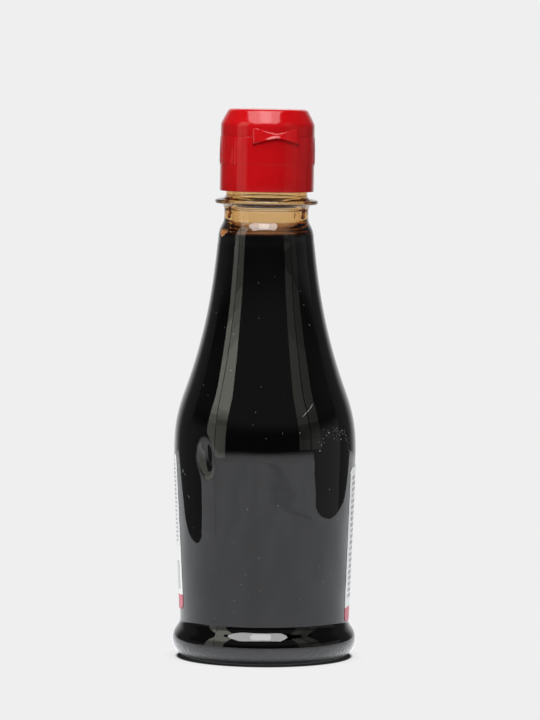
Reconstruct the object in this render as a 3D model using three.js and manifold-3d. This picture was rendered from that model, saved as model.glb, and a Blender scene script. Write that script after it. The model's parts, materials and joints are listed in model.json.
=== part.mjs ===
// Sauce bottle: a clear blown bottle with a foot, a long sloping shoulder and a ringed neck, filled
// with dark sauce, shut by a red flip-top cap and wearing one label round its back.
// Millimetres, +Z up, origin at the centre of the foot on the surface that it stands on.
// The side without a label faces -Y.

import * as THREE from 'three';
import { mergeVertices } from 'three/addons/utils/BufferGeometryUtils.js';
import Module from 'manifold-3d';

const SIDES = 44;
const CURVE_STEPS = 4;
const CLEARANCE = 0.3;
const SAME_POINT = 1e-4;

// Blown wall. FOOT is the round bead that the bottle stands on, WAIST the narrow line above it. Each
// place gives its leaning-in per millimetre of height, and how far its curve keeps that direction
// below and above it.
const FOOT = { ringInner: 20.0, ringOuter: 24.0, height: 5.2, above: 4.0 };
const WAIST = { radius: 27.1, height: 12.0, below: 3.0 };
const BELLY = { radius: 29.2, height: 66.0, above: 7.0 };
const SHOULDER = { radius: 25.74, height: 85.67, leanIn: 0.367, below: 8.0, above: 21.9 };
const NECK_FOOT = { radius: 15.35, height: 134.2, leanIn: 0.123, below: 9.5, above: 4.2 };
const PUSH_UP = { height: 5.0, flatRadius: 12.0 };
const WALL = 0.6;
const FLOOR = 1.6;

// Moulded neck: a collar below the support ring, and a plain sleeve above it inside the cap.
const COLLAR = { radius: 13.5, height: 140.4, below: 2.1, topRadius: 13.3, topHeight: 143.4 };
const RING = { radius: 16.5, low: 145.0, high: 146.4, rootLow: 144.6, rootHigh: 147.2, chamfer: 0.4 };
const SLEEVE_RADIUS = 12.8;
const BORE = { radius: 10.9, low: 141.5, below: 4.0 };
const MOUTH = 162.5;

const SAUCE_LEVEL = 137.0;

// Cap: a skirt, a wider grip band above it, and a lid with a bevelled top.
const SKIRT = { radius: 15.02, low: 149.35, high: 159.2, chamfer: 0.35 };
const BAND = { radius: 15.3, low: 159.6, high: 166.9 };
const LID = { radius: 14.97, low: BAND.high + CLEARANCE, bevelLow: 170.9, topRadius: 12.15, top: 175.6 };
const LID_BEVEL = { radius: 12.6, height: 175.35 };
const CAP_TURN = THREE.MathUtils.degToRad(10.3);

// Thumb tab: a straight lip across the front of the lid, wedge-shaped in section.
const TAB = { reach: 15.5, root: 12.0, halfLength: 7.6, slope: 1.16, back: 15.0, blunt: 0.2 };
const TAB_MIDDLE = LID.low;

// Strap of the lid's hinge, at the back of the band.
const STRAP = { inner: 14.6, outer: 16.0, low: 163.0, high: 170.6, halfAngle: 0.29 };

// Label: one strip, pasted a little askew, whose two ends leave the front of the bottle bare. The ends
// are in degrees from the front, and the left one leans back by leftLean at its top.
const LABEL = { leftEnd: -73.3, leftLean: 2.4, rightEnd: 71.0, leftLow: 15.1, rightLow: 11.1 };
const LABEL_HEIGHT = 49.6;
const LABEL_CORNER = 2.5;
const LABEL_GAP = 0.15;
const LABEL_THICKNESS = 0.2;
const LABEL_COLUMNS = 40;
const LABEL_CORNER_COLUMNS = 3;
const LABEL_ROWS = 6;

const wasm = await Module();
wasm.setup();

// Outline of the blown wall from the middle of the base up to the foot of the neck, moved inwards.
function wallOutline(inset, floor) {
  const crown = PUSH_UP.height + floor;
  const footRadius = FOOT.ringOuter + FOOT.height;
  const outline = new THREE.Path();
  outline.moveTo(0, crown);
  outline.quadraticCurveTo(PUSH_UP.flatRadius, crown, FOOT.ringInner, inset);
  outline.lineTo(FOOT.ringOuter, inset);
  outline.absarc(FOOT.ringOuter, FOOT.height, FOOT.height - inset, -Math.PI / 2, 0);
  outline.bezierCurveTo(
    footRadius - inset, FOOT.height + FOOT.above,
    WAIST.radius - inset, WAIST.height - WAIST.below,
    WAIST.radius - inset, WAIST.height,
  );
  outline.lineTo(BELLY.radius - inset, BELLY.height);
  outline.bezierCurveTo(
    BELLY.radius - inset, BELLY.height + BELLY.above,
    SHOULDER.radius + SHOULDER.below * SHOULDER.leanIn - inset, SHOULDER.height - SHOULDER.below,
    SHOULDER.radius - inset, SHOULDER.height,
  );
  outline.bezierCurveTo(
    SHOULDER.radius - SHOULDER.above * SHOULDER.leanIn - inset, SHOULDER.height + SHOULDER.above,
    NECK_FOOT.radius + NECK_FOOT.below * NECK_FOOT.leanIn - inset, NECK_FOOT.height - NECK_FOOT.below,
    NECK_FOOT.radius - inset, NECK_FOOT.height,
  );
  return outline.getPoints(CURVE_STEPS);
}

// Curve that leads from the top of the shoulder, moved inwards, to a straight stretch of the neck.
function flareTo(straight, height, inset) {
  const outline = new THREE.Path();
  outline.moveTo(NECK_FOOT.radius - inset, NECK_FOOT.height);
  outline.bezierCurveTo(
    NECK_FOOT.radius - NECK_FOOT.above * NECK_FOOT.leanIn - inset, NECK_FOOT.height + NECK_FOOT.above,
    straight.radius, height - straight.below,
    straight.radius, height,
  );
  return outline;
}

// Outside of the moulded neck, from the top of the shoulder to the mouth.
function neckOutline() {
  const outline = flareTo(COLLAR, COLLAR.height, 0);
  outline.lineTo(COLLAR.topRadius, COLLAR.topHeight);
  outline.lineTo(SLEEVE_RADIUS, RING.rootLow);
  outline.lineTo(RING.radius - RING.chamfer, RING.low);
  outline.lineTo(RING.radius, RING.low + RING.chamfer);
  outline.lineTo(RING.radius, RING.high - RING.chamfer);
  outline.lineTo(RING.radius - RING.chamfer, RING.high);
  outline.lineTo(SLEEVE_RADIUS, RING.rootHigh);
  outline.lineTo(SLEEVE_RADIUS, MOUTH);
  return outline.getPoints(CURVE_STEPS);
}

// Inside of the neck, from the thin wall of the shoulder to the bore, moved inwards.
function throatOutline(inset) {
  const bore = { radius: BORE.radius - inset, below: BORE.below };
  return flareTo(bore, BORE.low, WALL + inset).getPoints(CURVE_STEPS);
}

function revolve(points) {
  return new THREE.LatheGeometry(points, SIDES).rotateX(Math.PI / 2);
}

function outlineOf(pairs) {
  return pairs.map(([radius, height]) => new THREE.Vector2(radius, height));
}

function toSolid(geometry) {
  const bare = geometry.clone();
  bare.deleteAttribute('normal');
  bare.deleteAttribute('uv');
  const merged = mergeVertices(bare, SAME_POINT);
  const vertProperties = new Float32Array(merged.attributes.position.array);
  const triVerts = new Uint32Array(merged.index.array);
  return new wasm.Manifold(new wasm.Mesh({ numProp: 3, vertProperties, triVerts }));
}

function toGeometry(solid) {
  const mesh = solid.getMesh();
  const geometry = new THREE.BufferGeometry();
  geometry.setAttribute('position', new THREE.BufferAttribute(mesh.vertProperties, 3));
  geometry.setIndex(new THREE.BufferAttribute(mesh.triVerts, 1));
  geometry.computeVertexNormals();
  return geometry;
}

function disc(radius, low, high) {
  const thickness = high - low;
  const cylinder = new THREE.CylinderGeometry(radius, radius, thickness, SIDES);
  return toSolid(cylinder.rotateX(Math.PI / 2).translate(0, 0, low + thickness / 2));
}

// Hollow bottle with an open mouth: up the outside, over the rim and down the inside.
function bottleGeometry() {
  const outside = wallOutline(0, 0).concat(neckOutline().slice(1));
  const rim = new THREE.Vector2(BORE.radius, MOUTH);
  const inside = wallOutline(WALL, FLOOR).concat(throatOutline(0).slice(1)).reverse();
  return revolve([...outside, rim, ...inside]);
}

// Sauce: the inside of the bottle less the clearance, cut off flat at its level.
function sauceGeometry() {
  const throat = throatOutline(CLEARANCE);
  const above = throat.findIndex((point) => point.y > SAUCE_LEVEL);
  const below = throat[above - 1];
  const share = (SAUCE_LEVEL - below.y) / (throat[above].y - below.y);
  const edge = below.clone().lerp(throat[above], share);
  const wall = wallOutline(WALL + CLEARANCE, FLOOR + CLEARANCE).concat(throat.slice(1, above));
  return revolve([...wall, edge, new THREE.Vector2(0, SAUCE_LEVEL)]);
}

// The tab's wedge, grown evenly by a margin. Its blunt ridge points to -Y.
function tabWedge(margin) {
  const rise = margin * Math.hypot(1, TAB.slope);
  const depth = TAB.reach - TAB.root;
  const rootHalf = depth * TAB.slope + rise;
  const section = new THREE.Shape();
  section.moveTo(-TAB.root, -rootHalf);
  section.lineTo(-TAB.root, rootHalf);
  section.lineTo(-TAB.reach - margin, TAB.blunt + margin);
  section.lineTo(-TAB.reach - margin, -TAB.blunt - margin);
  const length = 2 * (TAB.halfLength + margin);
  const wedge = new THREE.ExtrudeGeometry(section, { depth: length, bevelEnabled: false });
  wedge.translate(0, 0, -length / 2);
  const crosswise = new THREE.Matrix4().makeBasis(
    new THREE.Vector3(0, 1, 0),
    new THREE.Vector3(0, 0, 1),
    new THREE.Vector3(1, 0, 0),
  );
  return toSolid(wedge.applyMatrix4(crosswise).translate(0, 0, TAB_MIDDLE));
}

// Curved plate at the back of the cap that carries the lid's hinge.
function hingeStrap() {
  const plate = new THREE.Shape();
  plate.absarc(0, 0, STRAP.outer, Math.PI / 2 - STRAP.halfAngle, Math.PI / 2 + STRAP.halfAngle);
  plate.absarc(0, 0, STRAP.inner, Math.PI / 2 + STRAP.halfAngle, Math.PI / 2 - STRAP.halfAngle, true);
  const height = STRAP.high - STRAP.low;
  const strap = new THREE.ExtrudeGeometry(plate, { depth: height, bevelEnabled: false, curveSegments: 4 });
  const besideLid = disc(LID.radius + CLEARANCE, BAND.high, LID.top);
  return toSolid(strap.translate(0, 0, STRAP.low)).subtract(besideLid);
}

// Lower half of the cap: a sleeve over the neck, with a hollow in the band behind the thumb tab.
function capBaseGeometry() {
  const boreRadius = SLEEVE_RADIUS + CLEARANCE;
  const boreTop = MOUTH + CLEARANCE;
  const body = toSolid(revolve(outlineOf([
    [0, boreTop],
    [boreRadius, boreTop],
    [boreRadius, SKIRT.low],
    [SKIRT.radius - SKIRT.chamfer, SKIRT.low],
    [SKIRT.radius, SKIRT.low + SKIRT.chamfer],
    [SKIRT.radius, SKIRT.high],
    [BAND.radius, BAND.low],
    [BAND.radius, BAND.high],
    [0, BAND.high],
  ])));
  const hollowBack = disc(TAB.back - CLEARANCE, SKIRT.low, LID.top);
  const hollow = tabWedge(CLEARANCE).subtract(hollowBack);
  return toGeometry(body.add(hingeStrap()).subtract(hollow));
}

// Lid: a solid cap with a bevelled rim. Its tab hangs in front of the hollow in the band.
function capLidGeometry() {
  const body = toSolid(revolve(outlineOf([
    [0, LID.low],
    [LID.radius, LID.low],
    [LID.radius, LID.bevelLow],
    [LID_BEVEL.radius, LID_BEVEL.height],
    [LID.topRadius, LID.top],
    [0, LID.top],
  ])));
  const belowLid = disc(TAB.back, SKIRT.low, LID.low);
  return toGeometry(body.add(tabWedge(0).subtract(belowLid)));
}

// Outside radius of the tapered body between the waist and the belly.
function bodyRadius(height) {
  const share = (height - WAIST.height) / (BELLY.height - WAIST.height);
  return THREE.MathUtils.lerp(WAIST.radius, BELLY.radius, share);
}

// Place along the label of each column of points, closer together in the round corners.
function labelColumn(index, length) {
  const fromEnd = Math.min(index, LABEL_COLUMNS - index);
  const turn = (Math.min(fromEnd / LABEL_CORNER_COLUMNS, 1) * Math.PI) / 2;
  const pitch = (length - 2 * LABEL_CORNER) / (LABEL_COLUMNS - 2 * LABEL_CORNER_COLUMNS);
  const pitches = Math.max(fromEnd - LABEL_CORNER_COLUMNS, 0);
  const distance = LABEL_CORNER * (1 - Math.cos(turn)) + pitches * pitch;
  return index === fromEnd ? distance : length - distance;
}

// How much the round corner takes off the label's top and bottom at a distance from its end.
function cornerCut(distance) {
  const inside = LABEL_CORNER - Math.min(distance, LABEL_CORNER);
  return LABEL_CORNER - Math.sqrt(LABEL_CORNER ** 2 - inside ** 2);
}

// Label: a flat strip with round corners, bent round the back of the tapered body.
function labelGeometry() {
  const { degToRad, lerp } = THREE.MathUtils;
  const startAngle = degToRad(LABEL.rightEnd);
  const endAngle = degToRad(360 + LABEL.leftEnd);
  const length = (endAngle - startAngle) * bodyRadius((WAIST.height + BELLY.height) / 2);
  const strip = new THREE.BoxGeometry(1, 1, 1, LABEL_COLUMNS, LABEL_ROWS, 1);
  const points = strip.attributes.position;
  for (let index = 0; index < points.count; index += 1) {
    const column = Math.round((points.getX(index) + 0.5) * LABEL_COLUMNS);
    const along = labelColumn(column, length);
    const share = along / length;
    const up = points.getY(index) * (LABEL_HEIGHT - 2 * cornerCut(Math.min(along, length - along)));
    const height = lerp(LABEL.rightLow, LABEL.leftLow, share) + LABEL_HEIGHT / 2 + up;
    const lean = degToRad(LABEL.leftLean) * (up / (LABEL_HEIGHT / 2));
    const angle = lerp(startAngle, endAngle - lean, share);
    const radius = bodyRadius(height) + LABEL_GAP + (points.getZ(index) + 0.5) * LABEL_THICKNESS;
    points.setXYZ(index, radius * Math.sin(angle), -radius * Math.cos(angle), height);
  }
  strip.deleteAttribute('normal');
  strip.deleteAttribute('uv');
  const label = mergeVertices(strip, SAME_POINT);
  label.computeVertexNormals();
  return label;
}

function piece(name, geometry, finish) {
  const mesh = new THREE.Mesh(geometry, new THREE.MeshStandardMaterial(finish));
  mesh.name = name;
  return mesh;
}

const CLEAR_PLASTIC = { color: 0xd9c9a8, roughness: 0.08, metalness: 0, transparent: true, opacity: 0.35 };
const DARK_SAUCE = { color: 0x120a08, roughness: 0.15, metalness: 0 };
const RED_PLASTIC = { color: 0xb60f14, roughness: 0.3, metalness: 0 };
const WHITE_PAPER = { color: 0xe6e6e4, roughness: 0.5, metalness: 0 };

const cap = new THREE.Group();
cap.add(piece('cap_base', capBaseGeometry(), RED_PLASTIC));
cap.add(piece('cap_lid', capLidGeometry(), RED_PLASTIC));
cap.rotation.z = CAP_TURN;

const sauceBottle = new THREE.Group();
sauceBottle.add(piece('bottle', bottleGeometry(), CLEAR_PLASTIC));
sauceBottle.add(piece('sauce', sauceGeometry(), DARK_SAUCE));
sauceBottle.add(piece('label', labelGeometry(), WHITE_PAPER));
sauceBottle.add(cap);

export default sauceBottle;
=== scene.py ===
# A sauce bottle: clear blown plastic filled with dark pomegranate sauce, with a red flip-top cap on its
# neck and one paper label round its back. Metres, +Z up, standing on z = 0, the bare side to -Y.

import json
import math
import random

import bpy
from mathutils import Matrix, Vector

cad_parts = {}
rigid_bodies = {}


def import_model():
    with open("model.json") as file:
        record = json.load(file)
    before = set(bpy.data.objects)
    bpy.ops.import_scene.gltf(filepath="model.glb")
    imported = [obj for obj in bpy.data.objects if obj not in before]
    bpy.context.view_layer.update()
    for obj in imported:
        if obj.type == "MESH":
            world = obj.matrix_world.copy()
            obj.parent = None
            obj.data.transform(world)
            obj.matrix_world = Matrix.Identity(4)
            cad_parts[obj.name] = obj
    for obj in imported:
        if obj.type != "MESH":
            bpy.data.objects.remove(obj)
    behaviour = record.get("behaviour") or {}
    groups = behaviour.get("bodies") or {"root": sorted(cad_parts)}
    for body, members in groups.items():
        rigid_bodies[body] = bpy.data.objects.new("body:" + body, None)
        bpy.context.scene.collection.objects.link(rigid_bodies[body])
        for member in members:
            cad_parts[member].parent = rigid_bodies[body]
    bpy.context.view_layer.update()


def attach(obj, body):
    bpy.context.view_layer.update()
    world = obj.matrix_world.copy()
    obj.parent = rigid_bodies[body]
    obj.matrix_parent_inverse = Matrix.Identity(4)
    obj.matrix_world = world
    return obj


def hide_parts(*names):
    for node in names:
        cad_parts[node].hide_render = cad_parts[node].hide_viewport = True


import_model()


# Bottle: one shell of clear plastic, blown thin in the body and moulded thick in the neck. It stands on
# a rounded bead, and a fine seam on either side shows where the two halves of the mould met. Up to the
# level its colour is painted almost black: painted shade for the dark sauce seen through it. Sizes are in
# millimetres, and pairs are a radius and a height.

MM = 0.001
WALL = 0.6
FLOOR = 1.6
PUSH_UP = 5.0
FOOT = 29.5
BEAD = 5.3
WAIST = (27.1, 12.4)
BELLY = (29.2, 66.0)
SHOULDER = (25.74, 85.67)
NECK_FOOT = (15.35, 134.2)
NECK = (13.5, 140.6)
RING = (16.5, 145.95)
SPOUT = 13.05
SPOUT_TOP = 162.5
BORE = 10.9
BORE_FOOT = 141.0
PAINTED_SHADE_TOP = 134.0
SEAM_TURN = math.radians(33.0)
CREASE = 40


def curve(start, first, second, end, steps):
    """Points along a cubic curve from start to end, without start."""
    corners = (start, first, second, end)
    points = []
    for step in range(1, steps + 1):
        t = step / steps
        shares = ((1 - t) ** 3, 3 * t * (1 - t) ** 2, 3 * t * t * (1 - t), t ** 3)
        radius = sum(share * corner[0] for share, corner in zip(shares, corners))
        height = sum(share * corner[1] for share, corner in zip(shares, corners))
        points.append((radius, height))
    return points


def body_radius(height):
    """Radius of the body, which widens evenly from the waist to the belly."""
    share = max(height - WAIST[1], 0) / (BELLY[1] - WAIST[1])
    return WAIST[0] + (BELLY[0] - WAIST[0]) * share


def wall_line(inset, floor):
    """Radius and height along the blown wall, from the middle of the base to the foot of the neck."""
    crown = PUSH_UP + floor
    line = [(0, crown)]
    line += curve((0, crown), (8, crown), (14.67, inset + (crown - inset) * 2 / 3), (20, inset), 12)
    line += [(22, inset), (FOOT - BEAD, inset)]
    for step in range(1, 11):
        turn = math.pi / 2 * step / 10
        reach = BEAD - inset
        line.append((FOOT - BEAD + reach * math.sin(turn), BEAD - reach * math.cos(turn)))
    body = curve((FOOT, BEAD), (FOOT, 9.2), (WAIST[0], 9.4), WAIST, 12)
    heights = [WAIST[1] + (BELLY[1] - WAIST[1]) * step / 36 for step in range(1, 37)]
    body += [(body_radius(height), height) for height in heights]
    body += curve(BELLY, (BELLY[0], 73), (28.68, 77.67), SHOULDER, 16)
    body += curve(SHOULDER, (17.7, 107.57), (16.52, 124.7), NECK_FOOT, 28)
    return line + [(radius - inset, height) for radius, height in body]


def inside_line(inset, floor):
    """Radius and height along the inside, from the middle of the base to the straight bore of the neck."""
    line = wall_line(WALL + inset, floor)
    above = (line[-1][0] - 0.15, 137.2)
    return line + curve(line[-1], above, (BORE + 0.2 - inset, 137.6), (BORE - inset, BORE_FOOT), 16)


def turn_on_lathe(name, outline, steps=160, crease=CREASE):
    """Extrudes one vertex along an outline of radii and heights in millimetres, and spins it round Z."""
    bpy.ops.object.select_all(action="DESELECT")
    bpy.ops.mesh.primitive_plane_add(size=MM)
    piece = bpy.context.object
    piece.name = name
    piece.data.name = name
    bpy.ops.object.mode_set(mode="EDIT")
    bpy.ops.mesh.select_all(action="SELECT")
    bpy.ops.mesh.merge(type="CENTER")
    bpy.ops.transform.translate(value=(outline[0][0] * MM, 0, outline[0][1] * MM))
    for here, there in zip(outline, outline[1:]):
        step = ((there[0] - here[0]) * MM, 0, (there[1] - here[1]) * MM)
        bpy.ops.mesh.extrude_region_move(TRANSFORM_OT_translate={"value": step})
    bpy.ops.mesh.select_all(action="SELECT")
    bpy.ops.mesh.spin(steps=steps, angle=math.tau, center=(0, 0, 0), axis=(0, 0, 1))
    bpy.ops.mesh.select_all(action="SELECT")
    bpy.ops.mesh.remove_doubles(threshold=0.001 * MM)
    bpy.ops.mesh.normals_make_consistent(inside=False)
    bpy.ops.object.mode_set(mode="OBJECT")
    bpy.ops.object.shade_smooth_by_angle(angle=math.radians(crease))
    return piece


class Shade:
    """A socket among a material's nodes. Operators on it add Math nodes, and node() adds any other."""

    def __init__(self, tree, socket=None):
        self.tree = tree
        self.socket = socket

    def node(self, kind, settings=None, sockets=None, output=0):
        """Adds a node with its settings and sockets, and gives one of its outputs."""
        made = self.tree.nodes.new("ShaderNode" + kind)
        for name, value in (settings or {}).items():
            setattr(made, name, value)
        self.fill(made, sockets or {})
        return Shade(self.tree, made.outputs[output])

    def fill(self, made, sockets):
        """Links the sockets of a node, or sets them to constants."""
        for name, value in sockets.items():
            if isinstance(value, Shade):
                self.tree.links.new(value.socket, made.inputs[name])
            else:
                made.inputs[name].default_value = value

    def math(self, operation, first, second=0.0):
        return self.node("Math", {"operation": operation}, {0: first, 1: second})

    def __add__(self, other):
        return self.math("ADD", self, other)

    def __radd__(self, other):
        return self.math("ADD", other, self)

    def __sub__(self, other):
        return self.math("SUBTRACT", self, other)

    def __rsub__(self, other):
        return self.math("SUBTRACT", other, self)

    def __mul__(self, other):
        return self.math("MULTIPLY", self, other)

    def __rmul__(self, other):
        return self.math("MULTIPLY", other, self)

    def __truediv__(self, other):
        return self.math("DIVIDE", self, other)

    def __lt__(self, other):
        return self.math("LESS_THAN", self, other)

    def __abs__(self):
        return self.math("ABSOLUTE", self)

    def fade(self, low, high, at_low=0.0, at_high=1.0):
        """A soft step of this value from at_low, at low, to at_high, at high."""
        ends = {1: low, 2: high, 3: at_low, 4: at_high}
        return self.node("MapRange", {"interpolation_type": "SMOOTHSTEP"}, {0: self} | ends)

    def mix(self, first, second):
        """A colour between first and second, by this value. Sockets 6, 7 and 2 are those for colours."""
        settings = {"data_type": "RGBA", "clamp_factor": True}
        return self.node("Mix", settings, {0: self, 6: first, 7: second}, 2)

    def noise(self, place, scale, detail=2.0, rough=0.5):
        sockets = {"Vector": place, "Scale": scale, "Detail": detail, "Roughness": rough}
        return self.node("TexNoise", None, sockets)

    def bump(self):
        """A normal that follows this value as a height in metres."""
        return self.node("Bump", None, {"Strength": 1.0, "Distance": 1.0, "Height": self})


def new_finish(name, constants):
    """A material with constant values on its shader, and a Shade to write its nodes with."""
    finish = bpy.data.materials.new(name)
    finish.use_nodes = True
    shader = finish.node_tree.nodes["Principled BSDF"]
    for socket, value in constants.items():
        shader.inputs[socket].default_value = value
    return finish, shader, Shade(finish.node_tree)


outside = wall_line(0, 0)
outside += curve(NECK_FOOT, (15.25, 138.0), (13.55, 138.9), NECK, 12)
outside += curve(NECK, (13.45, 142), (13.3, 144.7), (14.3, 145.1), 8)
outside += curve((15.9, 145.27), (16.35, 145.3), (16.5, 145.55), RING, 5)
outside += curve(RING, (16.5, 146.35), (16.35, 146.6), (15.9, 146.7), 5)
outside += curve((14.2, 147.05), (13.5, 147.2), (SPOUT, 147.6), (SPOUT, 148.3), 6)
outside += [(SPOUT, SPOUT_TOP - 0.6), (SPOUT - 0.3, SPOUT_TOP)]
mouth = [(BORE + 0.3, SPOUT_TOP), (BORE, SPOUT_TOP - 0.3)]
bottle = turn_on_lathe("bottle", outside + mouth + inside_line(0, FLOOR)[::-1])

DENT = Vector((-19.1, -22.1, 66.4))
DENT_HALF_WIDTH = 4.7
DENT_HALF_HEIGHT = 7.8
DENT_DEPTH = 0.6
DENT_SLANT = 0.12
DENT_REACH = 12.0


def press_dent(piece):
    """Pushes a shallow slanting dent into the near wall of a piece, deepest in its middle."""
    inward = Vector((-DENT.x, -DENT.y, 0)).normalized()
    along = Vector((inward.y, -inward.x, 0))
    for vertex in piece.data.vertices:
        off = vertex.co / MM - DENT
        sideways = (off.dot(along) + DENT_SLANT * off.z) / DENT_HALF_WIDTH
        share = math.hypot(sideways, off.z / DENT_HALF_HEIGHT)
        if share < 1 and off.length < DENT_REACH:
            vertex.co += inward * DENT_DEPTH * MM * (1 - share * share) ** 2


LEAN = math.radians(0.7)
LEAN_FOOT = 138.0
LEAN_BEND = 4.0


def lean_neck(piece):
    """Tips what stands above the shoulder a little to the right, as the blown neck stands."""
    for vertex in piece.data.vertices:
        rise = vertex.co.z - LEAN_FOOT * MM
        turn = LEAN * min(max(rise / (LEAN_BEND * MM), 0), 1)
        across = vertex.co.x
        vertex.co.x = across * math.cos(turn) + rise * math.sin(turn)
        vertex.co.z = LEAN_FOOT * MM + rise * math.cos(turn) - across * math.sin(turn)


press_dent(bottle)
lean_neck(bottle)

clear_plastic, shader, shade = new_finish("clear_plastic", {
    "IOR": 1.57,
    "Transmission Weight": 1.0,
})
place = shade.node("TexCoord", output="Object")
height = shade.node("SeparateXYZ", None, {0: place}, "Z")
seam_side = (math.cos(SEAM_TURN), -math.sin(SEAM_TURN), 0)
off_seam = shade.node("VectorMath", {"operation": "DOT_PRODUCT"}, {0: place, 1: seam_side}, "Value")
seam = abs(off_seam).fade(0.0, 0.16 * MM, 1.0, 0.0)
sway = shade.noise(place, 45.0, 1.0)
stipple = (shade.noise(place, 900.0, 3.0) - 0.5) * height.fade(4.6 * MM, 5.6 * MM, 1.0, 0.0)
scuffs = shade.noise(place, 900.0, 4.0, 0.7).fade(0.66, 0.74)
relief = sway * (0.25 * MM) + seam * (0.03 * MM) + stipple * (0.25 * MM)
# Painted shade: up to the level the clear plastic is coloured almost black, for the dark sauce seen through
# it.
above_painted_shade = height.fade((PAINTED_SHADE_TOP - 3) * MM, PAINTED_SHADE_TOP * MM)
colour = above_painted_shade.mix((0.025, 0.022, 0.021, 1), (0.95, 0.925, 0.90, 1))
shade.fill(shader, {"Base Color": colour, "Roughness": 0.02 + scuffs * 0.25, "Normal": relief.bump()})
bottle.data.materials.append(clear_plastic)
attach(bottle, "root")
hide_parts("bottle")


# Sauce: a thick reduction, almost black in the bottle, filled to the foot of the neck. It wets the wall,
# so it reaches a little into it here and no gap shows. A bubble at the left end of its level is left free.

WET = 0.12
LEVEL = 136.0
BUBBLE = (-11.5, -4.5, 136.3)
BUBBLE_RADIUS = 2.7
BUBBLE_STRETCH = 1.05

filling = [point for point in inside_line(-WET, FLOOR - WET) if point[1] < LEVEL + 0.3]
rim = filling[-1][0]
filling += curve(filling[-1], (rim - 0.3, LEVEL + 0.1), (rim - 0.6, LEVEL), (rim - 1.2, LEVEL), 6)
sauce = turn_on_lathe("sauce", filling + [(5, LEVEL), (0, LEVEL)])
press_dent(sauce)


def cut_or_join(piece, tool, operation, crease=None):
    """Cuts a piece with a tool, or joins the tool on, and smooths the piece up to a crease."""
    change = piece.modifiers.new("change", "BOOLEAN")
    change.operation = operation
    change.object = tool
    change.solver = "EXACT"
    bpy.ops.object.select_all(action="DESELECT")
    bpy.context.view_layer.objects.active = piece
    piece.select_set(True)
    bpy.ops.object.modifier_apply(modifier="change")
    bpy.data.objects.remove(tool)
    if crease:
        bpy.ops.object.shade_smooth_by_angle(angle=math.radians(crease))


def bubble_ball(name, margin):
    """A ball where the bubble is, larger than it by a margin and a little taller than wide."""
    radius = (BUBBLE_RADIUS + margin) * MM
    bpy.ops.object.select_all(action="DESELECT")
    bpy.ops.mesh.primitive_uv_sphere_add(segments=32, ring_count=20, radius=radius)
    piece = bpy.context.object
    piece.name = name
    piece.data.name = name
    bpy.ops.object.mode_set(mode="EDIT")
    bpy.ops.mesh.select_all(action="SELECT")
    bpy.ops.transform.resize(value=(1, 1, BUBBLE_STRETCH))
    bpy.ops.transform.translate(value=[side * MM for side in BUBBLE])
    bpy.ops.object.mode_set(mode="OBJECT")
    return piece


cut_or_join(sauce, bubble_ball("bubble_room", 0.05), "DIFFERENCE", CREASE)


def cloudy_finish(name, constants, scale, span, colours, detail=3.0):
    """A material whose colour drifts between two in clouds, over a span of a noise."""
    finish, shader, shade = new_finish(name, constants)
    clouds = shade.noise(shade.node("TexCoord", output="Object"), scale, detail).fade(*span)
    shade.fill(shader, {"Base Color": clouds.mix(*colours)})
    return finish


blacks = ((0.0022, 0.0020, 0.0020, 1), (0.0032, 0.0028, 0.0028, 1))
browns = ((0.06, 0.012, 0.004, 1), (0.09, 0.018, 0.006, 1))
dark_sauce = cloudy_finish("dark_sauce", {"IOR": 1.05, "Roughness": 0.35}, 120.0, (0.35, 0.7), blacks)
# Painted light: the faces on top of the level get a brown colour, lighter than the black of the rest of the
# sauce.
sauce_top_painted_light = cloudy_finish("sauce_top_painted_light", {"IOR": 1.36, "Roughness": 0.04}, 300.0, (0.35, 0.7), browns)
sauce.data.materials.append(dark_sauce)
sauce.data.materials.append(sauce_top_painted_light)
for polygon in sauce.data.polygons:
    polygon.material_index = int(polygon.center.z > (LEVEL - 0.2) * MM and polygon.normal.z > 0.5)
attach(sauce, "root")
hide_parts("sauce")


# Film of sauce left on the inside of the neck when the bottle was tipped. It is thin enough to let the
# light through, and amber where it does. It wets the wall too, so it reaches into it here.

FILM_TOP = 158.0
FILM_WET = 0.2
FILM_SKIN = 0.02
BUBBLE_CLEARANCE = 0.4


def neck_line(inset, top):
    """Radius and height along the inside, from a little below the level up to a height."""
    return [point for point in inside_line(inset, FLOOR) if LEVEL - 1 < point[1] < top]


def neck_skin(name, outer, inner):
    """A skin of sauce in the neck between an outer and an inner line, open where the bubble is."""
    piece = turn_on_lathe(name, outer + inner[::-1] + [outer[0]])
    cut_or_join(piece, bubble_ball("bubble_space", BUBBLE_CLEARANCE), "DIFFERENCE", CREASE)
    lean_neck(piece)
    return piece


def soaking_finish(name, colour, density):
    """A liquid that bends no light and only soaks it up, more of it on a longer way through."""
    finish, _, shade = new_finish(name, {
        "Base Color": (1, 1, 1, 1),
        "Roughness": 0.0,
        "IOR": 1.0,
        "Transmission Weight": 1.0,
    })
    soak = shade.node("VolumeAbsorption", None, {"Color": colour, "Density": density})
    shade.fill(finish.node_tree.nodes["Material Output"], {"Volume": soak})
    return finish


film_outside = neck_line(-FILM_WET, FILM_TOP) + [(BORE + FILM_WET, FILM_TOP)]
film_inside = neck_line(FILM_SKIN, FILM_TOP) + [(BORE - FILM_SKIN, FILM_TOP)]
film = neck_skin("sauce_film", film_outside, film_inside)
film.data.materials.append(soaking_finish("thin_sauce", (0.855, 0.605, 0.12, 1), 3800.0))
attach(film, "root")


# Edge of the sauce, drawn up the wall round the foot of the neck, where it clings. It is thicker than the
# film, most of all at the level, and so it is brown and lets less light through.

EDGE_TOP = 139.7
EDGE_TAPER = 0.7
EDGE_WET = 0.35
EDGE_SKIN = 0.03

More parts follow.
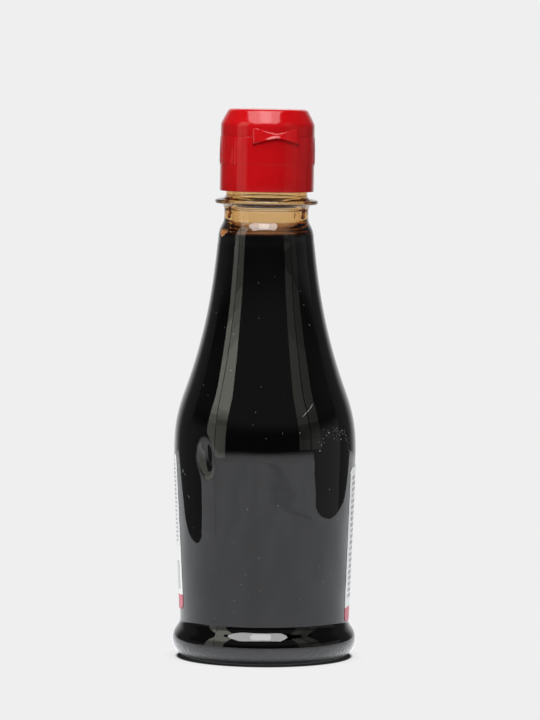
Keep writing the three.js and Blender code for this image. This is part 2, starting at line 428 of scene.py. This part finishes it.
edge_inside = []
for radius, height in neck_line(EDGE_SKIN, EDGE_TOP):
    below = EDGE_TOP - height
    thickness = 0.2 * min(below / EDGE_TAPER, 1) + 0.07 * max(below - EDGE_TAPER, 0)
    edge_inside.append((radius - thickness, height))
edge = neck_skin("sauce_edge", neck_line(-EDGE_WET, EDGE_TOP), edge_inside)
edge.data.materials.append(soaking_finish("thick_sauce", (0.37, 0.11, 0.03, 1), 1500.0))
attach(edge, "root")


# Bubble caught under the wall at the left end of the level: a round skin of sauce, pressed flat against
# the plastic. Its colour is painted light and shade by height: a pale highlight at its foot, an orange
# glow above it, where light would come through, and a dark top.

BUBBLE_WET = 0.2

bubble = bubble_ball("sauce_bubble", 0.0)
wall_face = [point for point in inside_line(-BUBBLE_WET, FLOOR) if LEVEL - 5 < point[1] < LEVEL + 5]
room_outline = [(0, wall_face[0][1])] + wall_face + [(0, wall_face[-1][1])]
cut_or_join(bubble, turn_on_lathe("inner_room", room_outline), "INTERSECT", CREASE)
bubble_painted_light, shader, shade = new_finish("bubble_painted_light", {"IOR": 1.36, "Roughness": 0.08})
place = shade.node("TexCoord", output="Object")
rise = shade.node("SeparateXYZ", None, {0: place}, "Z") - BUBBLE[2] * MM
rise = rise + shade.noise(place, 900.0) * (0.8 * MM)
# Painted light and shade by height: a pale highlight at the foot, an orange glow above it, and a dark top.
colour = rise.fade(-1.4 * MM, -0.5 * MM).mix((0.95, 0.85, 0.7, 1), (0.95, 0.4, 0.12, 1))
colour = rise.fade(0.6 * MM, 1.3 * MM).mix(colour, (0.03, 0.012, 0.006, 1))
shade.fill(shader, {"Base Color": colour})
bubble.data.materials.append(bubble_painted_light)
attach(bubble, "root")


# Drips of sauce that dried on the inside of the neck as they ran back: dark upright runs with a few small
# spots between them, stuck to the wall of the bore. Each has an angle, a height and two half sizes.

DRIPS = [
    (-68, 145.3, 1.3, 0.9), (-70, 143.9, 0.9, 1.0), (-68, 142.6, 1.0, 0.9), (-71, 141.3, 1.1, 1.0),
    (69, 145.3, 1.3, 0.8), (71, 143.3, 1.1, 1.9), (70, 141.3, 1.2, 1.2),
    (-29, 143.4, 0.6, 0.1), (-25.5, 143.6, 0.35, 0.08), (-31, 143.1, 0.25, 0.08),
    (49.5, 142.3, 0.12, 0.55), (51, 141.9, 0.3, 0.1), (48.5, 141.4, 0.1, 0.4),
]
DRIP_RADIUS = BORE - 0.04
DRIP_THICKNESS = 0.16


def add_fleck(name, detail, place, rotation, half_sizes):
    """Adds one flattened ball, at an angle from the front, a radius and a height."""
    angle, radius, height = place
    turn = math.radians(angle)
    bpy.ops.mesh.primitive_ico_sphere_add(
        subdivisions=detail,
        radius=MM,
        location=(radius * MM * math.sin(turn), -radius * MM * math.cos(turn), height * MM),
        rotation=rotation,
        scale=half_sizes,
    )
    bpy.context.object.name = name


def join_flecks(name):
    """Joins the flattened balls of one name into one piece at the origin."""
    for fleck in bpy.context.scene.objects:
        fleck.select_set(fleck.name.startswith(name))
    bpy.ops.object.join()
    piece = bpy.context.object
    piece.name = name
    piece.data.name = name
    bpy.ops.object.transform_apply(location=True, rotation=True, scale=True)
    return piece


for angle, height, half_width, half_height in DRIPS:
    half_sizes = (half_width, DRIP_THICKNESS, half_height)
    add_fleck("sauce_drips", 2, (angle, DRIP_RADIUS, height), (0, 0, math.radians(angle)), half_sizes)
drips = join_flecks("sauce_drips")
bpy.ops.object.shade_smooth()
lean_neck(drips)
browns = ((0.08, 0.02, 0.004, 1), (0.6, 0.2, 0.04, 1))
dried_sauce = cloudy_finish("dried_sauce", {"IOR": 1.4, "Roughness": 0.25}, 900.0, (0.4, 0.65), browns)
drips.data.materials.append(dried_sauce)
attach(drips, "root")


# Dust and scuffs: pale specks that lie on the outside of the bottle, crowded where it has been rubbed on
# the right of the shoulder, and a few fine scratches. Each has an angle, a height, half sizes and a lean.

DUST_THICKNESS = 0.02
RUB_MIDDLE = 51
RUB_HALF_WIDTH = 15.5
RUB_FOOT = 65.5
RUB_RISE = 8.5
SCRATCHES = [
    (-64, 60.5, 0.09, 0.7, 25), (-61, 59.5, 0.07, 0.4, -35), (-57.5, 52.6, 0.08, 0.7, -40),
    (29, 80.5, 0.05, 2.6, 52), (33, 82.2, 0.05, 1.4, 48), (-70, 62, 0.06, 0.5, 10),
    (45.5, 55.6, 0.16, 0.2, 0),
]

random.seed(7)
specks = []
for count in range(70):
    size = random.uniform(0.05, 0.1)
    angle = random.uniform(-75, 75)
    height = random.uniform(14, 128)
    specks.append((angle, height, size, size * random.uniform(0.7, 1.6), 0))
for count in range(80):
    size = random.uniform(0.04, 0.1)
    angle = random.uniform(36, 66)
    arch = RUB_FOOT + RUB_RISE * math.sqrt(1 - ((angle - RUB_MIDDLE) / RUB_HALF_WIDTH) ** 2)
    height = random.gauss(arch, 1.2)
    specks.append((angle, height, size, size * random.uniform(0.8, 2.0), 40))
for count in range(40):
    angle = random.uniform(80, 280)
    height = random.uniform(68, 128)
    specks.append((angle, height, 0.07, random.uniform(0.06, 0.12), 0))

side = [point for point in outside if point[1] > BEAD]
for angle, height, half_width, half_length, lean in specks + SCRATCHES:
    low, high = next(pair for pair in zip(side, side[1:]) if pair[1][1] > height)
    radius = low[0] + (high[0] - low[0]) * (height - low[1]) / (high[1] - low[1])
    slope = math.atan2(low[0] - high[0], high[1] - low[1])
    facing = Matrix.Rotation(math.radians(angle), 3, "Z") @ Matrix.Rotation(-slope, 3, "X")
    facing = facing @ Matrix.Rotation(math.radians(lean), 3, "Y")
    half_sizes = (half_width, DUST_THICKNESS, half_length)
    add_fleck("dust", 1, (angle, radius, height), facing.to_euler(), half_sizes)
dust = join_flecks("dust")
greys = ((0.14, 0.14, 0.14, 1), (0.6, 0.6, 0.58, 1))
dull = {"Roughness": 0.8, "Specular IOR Level": 0.2}
dust_grey = cloudy_finish("dust_grey", dull, 700.0, (0.3, 0.7), greys, 2.0)
dust.data.materials.append(dust_grey)
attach(dust, "root")


# Label: one strip of printed paper with round corners, pasted round the back of the body a little askew.
# Its print is a plain layout of its own: a pale ground, a rose foot, a red round and rows of grey bars.

LABEL_HEIGHT = 49.6
LABEL_FOOT = 11.7
LABEL_CLIMB = 4.0
LABEL_SLANT = math.radians(2.4)
LABEL_CORNER = 2.5
LABEL_ENDS = (math.radians(71.0), math.radians(286.7))
LABEL_RADIUS = 28.13
LABEL_LENGTH = (LABEL_ENDS[1] - LABEL_ENDS[0]) * LABEL_RADIUS
LABEL_COLUMNS = 160
CORNER_COLUMNS = 10
PASTE = 0.04
PAPER = 0.11
SHEET = 120

bpy.ops.object.select_all(action="DESELECT")
bpy.ops.mesh.primitive_grid_add(x_subdivisions=LABEL_COLUMNS, y_subdivisions=24, size=1)
label = bpy.context.object
label.name = "label"
label.data.name = "label"
column_width = (LABEL_LENGTH - 2 * LABEL_CORNER) / (LABEL_COLUMNS - 2 * CORNER_COLUMNS)
flat = {}
for vertex in label.data.vertices:
    column = round((vertex.co.x + 0.5) * LABEL_COLUMNS)
    from_end = min(column, LABEL_COLUMNS - column)
    if from_end < CORNER_COLUMNS:
        along = LABEL_CORNER * (1 - math.cos(math.pi / 2 * from_end / CORNER_COLUMNS))
    else:
        along = LABEL_CORNER + (from_end - CORNER_COLUMNS) * column_width
    inside_corner = LABEL_CORNER - min(along, LABEL_CORNER)
    cut = LABEL_CORNER - math.sqrt(LABEL_CORNER ** 2 - inside_corner ** 2)
    along = along if column == from_end else LABEL_LENGTH - along
    up = vertex.co.y * (LABEL_HEIGHT - 2 * cut)
    flat[vertex.index] = (along / SHEET, (up + LABEL_HEIGHT / 2) / SHEET)
    share = along / LABEL_LENGTH
    rise = LABEL_FOOT + LABEL_CLIMB * share + LABEL_HEIGHT / 2 + up
    slant = LABEL_SLANT * up / (LABEL_HEIGHT / 2)
    angle = LABEL_ENDS[0] + (LABEL_ENDS[1] - slant - LABEL_ENDS[0]) * share
    radius = body_radius(rise) + PASTE
    vertex.co = (radius * math.sin(angle) * MM, -radius * math.cos(angle) * MM, rise * MM)
sheet = label.data.uv_layers[0]
for loop in label.data.loops:
    sheet.data[loop.index].uv = flat[loop.vertex_index]
bpy.ops.object.mode_set(mode="EDIT")
bpy.ops.mesh.select_all(action="SELECT")
bpy.ops.mesh.normals_make_consistent(inside=False)
bpy.ops.object.mode_set(mode="OBJECT")
paper = label.modifiers.new("paper", "SOLIDIFY")
paper.thickness = PAPER * MM
paper.offset = 1.0
bpy.ops.object.modifier_apply(modifier="paper")
bpy.ops.object.shade_smooth_by_angle(angle=math.radians(CREASE))

label_paper, shader, shade = new_finish("label_paper", {"Specular IOR Level": 0.3})
sheet_place = shade.node("UVMap", {"uv_map": sheet.name})
along = shade.node("SeparateXYZ", None, {0: sheet_place}, "X") * SHEET
up = shade.node("SeparateXYZ", None, {0: sheet_place}, "Y") * SHEET


def between(value, low, high):
    """1 where a value lies between two others, with an edge a little soft."""
    return value.fade(low - 0.06, low + 0.06) * value.fade(high - 0.06, high + 0.06, 1.0, 0.0)


def panel(left, right, low, high):
    """1 in a box of the label, in millimetres from its first end and its foot."""
    return between(along, left, right) * between(up, low, high)


def bars(pitch, thick, word):
    """Rows of short bars, broken as rows of words are."""
    row = shade.math("FLOOR", up / pitch)
    in_row = between(up / pitch - row, 0.0, thick)
    spread = shade.node("CombineXYZ", None, {0: along / word, 1: row * 7.3})
    gaps = shade.noise(spread, 1.0, 2.0, 0.6).fade(0.40, 0.46)
    return in_row * gaps


def fruit(radius):
    """1 in a circle round the middle of the red round."""
    aside = along - 53
    above = up - 22.5
    return shade.math("SQRT", aside * aside + above * above) < radius


small_rows = bars(1.9, 0.66, 0.9) * panel(1.9, 25, 7.5, 47.3)
fine_rows = bars(1.35, 0.6, 0.8) * panel(81, 104, 21.5, 47.6)
block_lines = panel(84, 103.9, 6.3, 15.5) * shade.math("FRACT", along / 1.7).fade(0.42, 0.5)
grey = small_rows + fine_rows + block_lines
colour = grey.mix((0.78, 0.79, 0.78, 1), (0.30, 0.30, 0.31, 1))
heading = panel(33, 73, 42.2, 44.6) + panel(41, 65, 39.2, 40.3)
colour = heading.mix(colour, (0.42, 0.015, 0.03, 1))
colour = fruit(14.2).mix(colour, (0.62, 0.20, 0.22, 1))
colour = fruit(13.3).mix(colour, (0.43, 0.012, 0.03, 1))
seed_sockets = {"Vector": sheet_place, "Scale": 34.0, "Randomness": 0.75}
seeds = shade.node("TexVoronoi", {"feature": "F1"}, seed_sockets)
seeds = seeds.fade(0.26, 0.34, 1.0, 0.0) * fruit(11.4)
colour = seeds.mix(colour, (0.66, 0.05, 0.07, 1))
colour = between(up, -1, 4.7).mix(colour, (0.53, 0.125, 0.17, 1))
fibres = shade.noise(sheet_place, 400.0, 4.0, 0.6)
colour = fibres.fade(0.3, 0.7, 0.0, 0.06).mix(colour, (0.5, 0.5, 0.5, 1))
relief = fibres * (0.008 * MM)
shade.fill(shader, {"Base Color": colour, "Roughness": 0.38 + fibres * 0.15, "Normal": relief.bump()})
label.data.materials.append(label_paper)
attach(label, "root")
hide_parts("label")


# Cap base: a screw cap of red plastic with a plain skirt and a grip band above it. The band is finely
# ribbed at its sides, hollowed at the front to make room for the lid's tab, and carries the hinge behind.

CAP_TURN = 11.3
CAP_FOOT = 149.35
CAP_SEAM = 166.9
CAP_STEPS = 360
SKIRT = 15.06
BAND = 15.12
BAND_FOOT = 157.4
RIBS = (42, 152)
RIB_RELIEF = 0.009
HOLLOW_BACK = 14.72
HOLLOW_GAP = 0.03

cap_outline = [(0, 162.8), (13.15, 162.8), (13.15, 149.6), (13.35, CAP_FOOT), (14.78, CAP_FOOT)]
cap_outline += curve((14.78, CAP_FOOT), (14.96, CAP_FOOT), (SKIRT, 149.45), (SKIRT, 149.65), 4)
cap_outline += [(SKIRT, 154), (SKIRT, BAND_FOOT)]
cap_outline += curve((SKIRT, BAND_FOOT), (SKIRT, 158.0), (BAND, 158.2), (BAND, 158.8), 5)
cap_outline += [(BAND, 162.5), (BAND, 166.75)]
cap_outline += curve((BAND, 166.75), (BAND, 166.84), (15.06, CAP_SEAM), (14.97, CAP_SEAM), 4)
cap_outline += [(0, CAP_SEAM)]
cap_base = turn_on_lathe("cap_base", cap_outline, CAP_STEPS)

for vertex in cap_base.data.vertices:
    x, y, z = vertex.co / MM
    angle = math.degrees(math.atan2(x, -y))
    off_tab = abs((angle - CAP_TURN + 180) % 360 - 180)
    on_band = BAND_FOOT < z < 166.7 and math.hypot(x, y) > 15.05
    if on_band and RIBS[0] < off_tab < RIBS[1] and round(angle) % 5 < 3:
        rib = min((off_tab - RIBS[0]) / 20, 1) * min((z - BAND_FOOT) / 1.4, 1)
        vertex.co.x *= 1 + RIB_RELIEF * rib
        vertex.co.y *= 1 + RIB_RELIEF * rib

TAB_HEIGHT = 167.5
TAB_HALF_LENGTH = 7.5
TAB_HALF_HEIGHT = 2.85
TAB_WAIST_ABOVE = 0.7
TAB_WAIST_BELOW = 0.85
TAB_BEND = 16.5
TAB_FACE = 15.3
TAB_SLOPE = 0.16
TAB_ROUNDING = 0.3
TAB_LIP = 0.72
TAB_DEPTH = 3.5


def bow_tie(name, margin):
    """The plate of the thumb tab, tall at its ends and narrow in the middle, with rounded edges."""
    bpy.ops.object.select_all(action="DESELECT")
    bpy.ops.mesh.primitive_grid_add(x_subdivisions=48, y_subdivisions=16, size=1)
    plate = bpy.context.object
    plate.name = name
    for vertex in plate.data.vertices:
        sideways = math.sin(vertex.co.x * math.pi)
        upward = math.sin(vertex.co.y * math.pi)
        # A soft absolute value: 0 in the middle of the plate and 1 at its ends.
        share = (math.sqrt(sideways ** 2 + 0.03) - 0.173) / 0.842
        waist = TAB_WAIST_ABOVE if upward > 0 else TAB_WAIST_BELOW
        half_height = waist + (TAB_HALF_HEIGHT - waist) * share + margin
        x = sideways * (TAB_HALF_LENGTH + margin)
        rise = upward * half_height
        edge = min(half_height - abs(rise), TAB_HALF_LENGTH + margin - abs(x))
        rounding = TAB_ROUNDING * (1 - min(edge / 0.8, 1)) ** 2
        foot = TAB_WAIST_BELOW + (TAB_HALF_HEIGHT - TAB_WAIST_BELOW) * share + margin
        lip = 0.6 * (1 - share) * max(TAB_LIP - rise - foot, 0)
        if lip > 0:
            rounding *= share
        bend = TAB_BEND - math.sqrt(TAB_BEND ** 2 - x * x)
        face = bend - TAB_FACE - margin + TAB_SLOPE * rise + rounding - lip
        vertex.co = (x * MM, face * MM, (TAB_HEIGHT + rise) * MM)
    bpy.ops.object.mode_set(mode="EDIT")
    bpy.ops.mesh.select_all(action="SELECT")
    bpy.ops.mesh.extrude_region_move(TRANSFORM_OT_translate={"value": (0, (TAB_DEPTH + margin) * MM, 0)})
    bpy.ops.mesh.select_all(action="SELECT")
    bpy.ops.mesh.normals_make_consistent(inside=False)
    bpy.ops.transform.rotate(value=-math.radians(CAP_TURN), orient_axis="Z", center_override=(0, 0, 0))
    bpy.ops.object.mode_set(mode="OBJECT")
    return plate


thumb_hollow = bow_tie("thumb_hollow", HOLLOW_GAP)
core_outline = [(0, 150), (HOLLOW_BACK, 150), (HOLLOW_BACK, 180), (0, 180)]
cut_or_join(thumb_hollow, turn_on_lathe("behind_hollow", core_outline, CAP_STEPS), "DIFFERENCE")
cut_or_join(cap_base, thumb_hollow, "DIFFERENCE")

STRAP_FOOT = 163.1
STRAP_TOP = 170.5
STRAP_BACK = 14.9
STRAP_FACE = 16.0
STRAP_WIDTH = 9.2

strap_outline = [(STRAP_BACK, STRAP_FOOT), (15.7, STRAP_FOOT)]
strap_outline += curve((15.7, STRAP_FOOT), (15.9, STRAP_FOOT), (STRAP_FACE, 163.2), (STRAP_FACE, 163.4), 3)
strap_outline += [(STRAP_FACE, 166.5), (15.45, 166.95), (15.45, 167.15), (STRAP_FACE, 167.6)]
strap_outline += [(STRAP_FACE, 170.2)]
strap_outline += curve((STRAP_FACE, 170.2), (STRAP_FACE, 170.4), (15.9, STRAP_TOP), (15.7, STRAP_TOP), 3)
strap_outline += [(STRAP_BACK, STRAP_TOP), (STRAP_BACK, STRAP_FOOT)]
strap = turn_on_lathe("strap", strap_outline, 240)
bpy.ops.object.select_all(action="DESELECT")
bpy.ops.mesh.primitive_cube_add(size=1)
strap_room = bpy.context.object
bpy.ops.object.mode_set(mode="EDIT")
bpy.ops.mesh.select_all(action="SELECT")
bpy.ops.transform.resize(value=(STRAP_WIDTH * MM, 12 * MM, 30 * MM))
bpy.ops.transform.translate(value=(0, 14 * MM, 167 * MM))
bpy.ops.transform.rotate(value=-math.radians(CAP_TURN), orient_axis="Z", center_override=(0, 0, 0))
bpy.ops.object.mode_set(mode="OBJECT")
cut_or_join(strap, strap_room, "INTERSECT")
cut_or_join(cap_base, strap, "UNION", 35)
lean_neck(cap_base)

red_plastic, shader, shade = new_finish("red_plastic", {
    "IOR": 1.49,
    "Specular IOR Level": 0.27,
})
place = shade.node("TexCoord", output="Object")
relief = shade.noise(place, 2500.0, 2.0) * (0.004 * MM)
streaks = shade.noise(place, 180.0, 3.0)
colour = streaks.fade(0.3, 0.7).mix((0.345, 0.0030, 0.0046, 1), (0.37, 0.0036, 0.0054, 1))
shade.fill(shader, {"Base Color": colour, "Roughness": 0.09 + streaks * 0.05, "Normal": relief.bump()})
cap_base.data.materials.append(red_plastic)
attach(cap_base, "root")
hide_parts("cap_base")


# Cap lid: the hinged top of the cap, moulded in the same red plastic, with a bevelled rim and a flat
# tab across its front, shaped like a bow tie.

LID = 15.02
LID_FOOT = CAP_SEAM + 0.03
LID_FOOT_RADIUS = 14.95
LID_TOP = 175.6
BEVEL_FOOT = (14.45, 171.95)
BEVEL_TOP = (12.95, 174.78)

lid_outline = [(0, LID_FOOT), (LID_FOOT_RADIUS, LID_FOOT)]
lid_outline += curve((LID_FOOT_RADIUS, LID_FOOT), (15.0, LID_FOOT), (LID, 166.96), (LID, 167.02), 3)
lid_outline += [(LID, 169), (LID, 169.9)]
lid_outline += curve((LID, 169.9), (LID, 170.8), (14.75, 171.35), BEVEL_FOOT, 8)
lid_outline += curve(BEVEL_FOOT, (13.95, 172.95), (13.5, 173.8), BEVEL_TOP, 6)
lid_outline += curve(BEVEL_TOP, (12.65, 175.32), (12.2, LID_TOP), (11.5, LID_TOP), 8)
lid_outline += [(9, LID_TOP), (0, LID_TOP)]
cap_lid = turn_on_lathe("cap_lid", lid_outline, 240, 30)

tab = bow_tie("tab", 0.0)
core_outline = [(0, 150), (LID_FOOT_RADIUS, 150), (LID_FOOT_RADIUS, LID_FOOT), (0, LID_FOOT)]
cut_or_join(tab, turn_on_lathe("below_lid", core_outline, 240), "DIFFERENCE")
cut_or_join(cap_lid, tab, "UNION", 30)
lean_neck(cap_lid)
cap_lid.data.materials.append(red_plastic)
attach(cap_lid, "root")
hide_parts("cap_lid")


# Studio: a pale ground with a painted shadow under the bottle, a pale table top with a painted shadow
# round the bottle and a dark room round it that the plastic mirrors, a large softbox over the front and a
# strip light on either side.

BLACK = (0, 0, 0, 1)
WHITE = (1, 1, 1, 1)
PALE = 0.863


def glow(name, brightness):
    """A surface that shines at most so brightly. The colour of its light says how much of that shows."""
    finish = bpy.data.materials.new(name)
    finish.use_nodes = True
    shade = Shade(finish.node_tree)
    light = shade.node("Emission", None, {"Strength": brightness})
    shade.fill(finish.node_tree.nodes["Material Output"], {"Surface": light})
    return finish, shade, light.socket.node


def mirrored_only(obj):
    """Keeps a thing of the studio out of the picture, so that it shows only as a reflection."""
    obj.visible_camera = False
    obj.visible_transmission = False
    obj.visible_shadow = False


world = bpy.data.worlds.new("pale_ground")
bpy.context.scene.world = world
world.use_nodes = True
world.node_tree.nodes["Background"].inputs["Color"].default_value = (PALE, PALE, PALE, 1)
world.cycles_visibility.diffuse = False
world.cycles_visibility.glossy = False

bpy.ops.object.select_all(action="DESELECT")
bpy.ops.mesh.primitive_plane_add(size=8)
floor = bpy.context.object
floor.name = "floor"
floor_painted_shadow, shade, light = glow("floor_painted_shadow", 1.0)
# Painted shadow: the glowing floor is dark in a disc under the bottle, with a soft rim, for its contact
# shadow.
shadow_middle = (0, -1.8 * MM, 0)
place = shade.node("TexCoord", output="Object")
away = shade.node("VectorMath", {"operation": "DISTANCE"}, {0: place, 1: shadow_middle}, "Value")
near = away.fade(27.6 * MM, 28.9 * MM, 0.02 * PALE, 0.93 * PALE)
ground = near + away.fade(28.4 * MM, 33.0 * MM, 0.0, 0.07 * PALE)
shade.fill(light, {"Color": ground.mix(BLACK, WHITE)})
floor.data.materials.append(floor_painted_shadow)
floor.visible_glossy = False
floor.visible_diffuse = False


def flat_shape(name, corners):
    """A flat shape just under the floor, filled between its corners."""
    bpy.ops.object.select_all(action="DESELECT")
    bpy.ops.mesh.primitive_plane_add(size=MM)
    shape = bpy.context.object
    shape.name = name
    bpy.ops.object.mode_set(mode="EDIT")
    bpy.ops.mesh.select_all(action="SELECT")
    bpy.ops.mesh.merge(type="CENTER")
    bpy.ops.transform.translate(value=(corners[0][0], corners[0][1], -0.2 * MM))
    for here, there in zip(corners, corners[1:]):
        step = (there[0] - here[0], there[1] - here[1], 0)
        bpy.ops.mesh.extrude_region_move(TRANSFORM_OT_translate={"value": step})
    bpy.ops.mesh.select_all(action="SELECT")
    bpy.ops.mesh.edge_face_add()
    bpy.ops.object.mode_set(mode="OBJECT")
    return shape


def from_front(degrees, distance):
    """A place on the floor by its angle from the front and its distance from the bottle."""
    angle = math.radians(degrees)
    return (distance * math.sin(angle), -distance * math.cos(angle))


TABLE_EDGE = [
    (-85.8, 1.4), (-60, 1.4), (-30, 1.4), (0, 1.4), (30, 1.4), (50, 1.4), (63.5, 1.2), (63.9, 0.44),
    (65.2, 0.39), (67.2, 0.342), (70.5, 0.321), (75.5, 0.305), (82.3, 0.299), (91.4, 0.301), (99.2, 0.314),
    (107.6, 0.336), (116.6, 0.373), (123.7, 0.421), (128.3, 0.473), (132.6, 0.544), (134.4, 1.0),
    (-141.2, 0.95), (-137.2, 0.553), (-133.8, 0.475), (-127.3, 0.391), (-121, 0.334), (-113.6, 0.288),
    (-104.3, 0.257), (-96.8, 0.245), (-91.9, 0.248), (-87.5, 0.264), (-86.4, 0.354),
]
TABLE_GLOW = 2.0
TABLE_WHITE = (0.98, 1.0, 1.03, 1)
table = flat_shape("table", [from_front(degrees, distance) for degrees, distance in TABLE_EDGE])
table_pale, shade, light = glow("table_pale", TABLE_GLOW)
place = shade.node("TexCoord", output="Object")
away = shade.node("VectorMath", {"operation": "LENGTH"}, {0: place}, "Value")
across = shade.node("SeparateXYZ", None, {0: place}, "X")
back = shade.node("SeparateXYZ", None, {0: place}, "Y")
angle = shade.math("ARCTAN2", across, 0.0 - back)
streak = abs(away + angle * 0.0888 - 0.385).fade(0.004, 0.018, 0.16, 0.0) * angle.fade(0.95, 1.15, 1.0, 0.0)
uneven = shade.noise(place, 9.0, 3.0).fade(0.3, 0.7, 0.93, 1.07)
# Painted shadow and light: the table is dark right round the bottle for its contact shadow, brighter a
# little further out, and fades far away.
strength = away.fade(0.0266, 0.0302, 0.06, 1.12) * away.fade(0.032, 0.1, 1.5, 1.0)
strength = strength * away.fade(0.3, 1.3, 1.0, 0.04) * uneven * (1.0 - streak)
shade.fill(light, {"Color": (strength / TABLE_GLOW).mix(BLACK, TABLE_WHITE)})
table.data.materials.append(table_pale)
mirrored_only(table)


def standing_wall(name, y, width, low, high):
    """An upright wall across the view."""
    bpy.ops.object.select_all(action="DESELECT")
    bpy.ops.mesh.primitive_plane_add(size=1)
    wall = bpy.context.object
    wall.name = name
    bpy.ops.object.mode_set(mode="EDIT")
    bpy.ops.mesh.select_all(action="SELECT")
    bpy.ops.transform.rotate(value=math.pi / 2, orient_axis="X", center_override=(0, 0, 0))
    bpy.ops.transform.resize(value=(width, 1, high - low))
    bpy.ops.transform.translate(value=(0, y, (low + high) / 2))
    bpy.ops.object.mode_set(mode="OBJECT")
    return wall


backdrop = standing_wall("backdrop", 0.6, 3.2, -0.2, 1.0)
backdrop_pale, shade, light = glow("backdrop_pale", 1.0)
aside = abs(shade.node("SeparateXYZ", None, {0: shade.node("TexCoord", output="Object")}, "X"))
shade.fill(light, {"Color": aside.fade(0.16, 0.62, 0.9, 0.1).mix(BLACK, WHITE)})
backdrop.data.materials.append(backdrop_pale)
mirrored_only(backdrop)

bpy.ops.object.select_all(action="DESELECT")
bpy.ops.mesh.primitive_cylinder_add(vertices=96, radius=3, depth=6, end_fill_type="NOTHING")
room = bpy.context.object
room.name = "room"
room_dark, shade, light = glow("room_dark", 1.0)
place = shade.node("TexCoord", output="Object")
height = shade.node("SeparateXYZ", None, {0: place}, "Z")
across = shade.node("SeparateXYZ", None, {0: place}, "X")
aside = abs(across).fade(2.3, 2.9)
dim = height.fade(0.4, 1.2, 0.04, 0.13)
dim_sides = height.fade(0.3, 0.8, 0.22, 0.02) * (0.75 + across * 0.1)
dim = dim * (1 - aside * 0.6) + aside * dim_sides
shade.fill(light, {"Color": dim.mix(BLACK, WHITE)})
room.data.materials.append(room_dark)
mirrored_only(room)


def area_light(name, place, target, width, height, brightness):
    """An even rectangular light of a given brightness, facing a target."""
    lamp = bpy.data.lights.new(name, "AREA")
    lamp.shape = "RECTANGLE"
    lamp.size = width
    lamp.size_y = height
    lamp.energy = brightness * math.pi * width * height
    holder = bpy.data.objects.new(name, lamp)
    bpy.context.scene.collection.objects.link(holder)
    holder.location = place
    away = [here - there for here, there in zip(place, target)]
    flat_length = math.hypot(away[0], away[1])
    holder.rotation_euler = (math.atan2(flat_length, away[2]), 0, math.atan2(away[0], -away[1]))
    holder.visible_camera = False
    holder.visible_transmission = False
    return holder


area_light("softbox", (-0.16, -0.7, 1.2), (-0.16, -0.7, 0), 1.46, 1.2, 7.0)
area_light("softbox_middle", (-0.1, -0.7, 1.19), (-0.1, -0.7, 0), 0.5, 0.66, 4.0)

STRIP_COLOUR = (1.0, 1.0, 0.88)
FRONT_PARTS = [
    (0.0, 0.19, 0.75), (0.19, 0.235, 0.58), (0.235, 0.26, 0.95),
    (0.26, 0.285, 1.25), (0.285, 0.31, 1.6), (0.31, 0.62, 2.1),
]
BACK_PARTS = [(0.0, 0.2, 0.85), (0.2, 0.26, 1.1), (0.26, 0.31, 1.8), (0.31, 0.62, 2.1)]
RIGHT_PARTS = [(0.04, 0.1, 0.25), (0.1, 0.22, 0.15), (0.22, 0.3, 0.3), (0.3, 0.62, 0.4)]
OUTER_PARTS = [(low, high, 0.75 * brightness) for low, high, brightness in RIGHT_PARTS]


def strip_light(name, across, depth, width, parts):
    """An upright strip light in parts of different brightness, each from a height to the next."""
    for low, high, brightness in parts:
        middle = (low + high) / 2
        part = area_light(name, (across, depth, middle), (0, 0, middle), width, high - low, brightness)
        part.data.color = STRIP_COLOUR


strip_light("left_strip_front", -0.468, -0.298, 0.135, FRONT_PARTS)
strip_light("left_strip_back", -0.526, -0.176, 0.135, BACK_PARTS)
strip_light("right_strip", 0.426, -0.347, 0.146, RIGHT_PARTS)
strip_light("right_strip_outer", 0.504, -0.213, 0.134, OUTER_PARTS)
back_light = area_light("back_light", (0.35, 1.3, 0.9), (0, 0, 0.09), 0.9, 0.7, 3.0)
back_light.visible_glossy = False


# Camera: a long lens a metre and a half in front of the bottle and a little above its top, looking down
# by a few degrees. It is rolled by a fraction of a degree, as the photograph is.

CAMERA_DOWN = 3.979
CAMERA_ROLL = 0.3

lens = bpy.data.cameras.new("camera")
lens.lens = 233.05
lens.sensor_width = 36.0
lens.clip_end = 50.0
camera = bpy.data.objects.new("camera", lens)
bpy.context.scene.collection.objects.link(camera)
camera.location = (0.00147, -1.491, 0.1989)
tilt = Matrix.Rotation(math.radians(90 - CAMERA_DOWN), 3, "X")
roll = Matrix.Rotation(math.radians(CAMERA_ROLL), 3, "Z")
camera.rotation_euler = (tilt @ roll).to_euler()
bpy.context.scene.camera = camera
bpy.context.scene.view_settings.view_transform = "Standard"
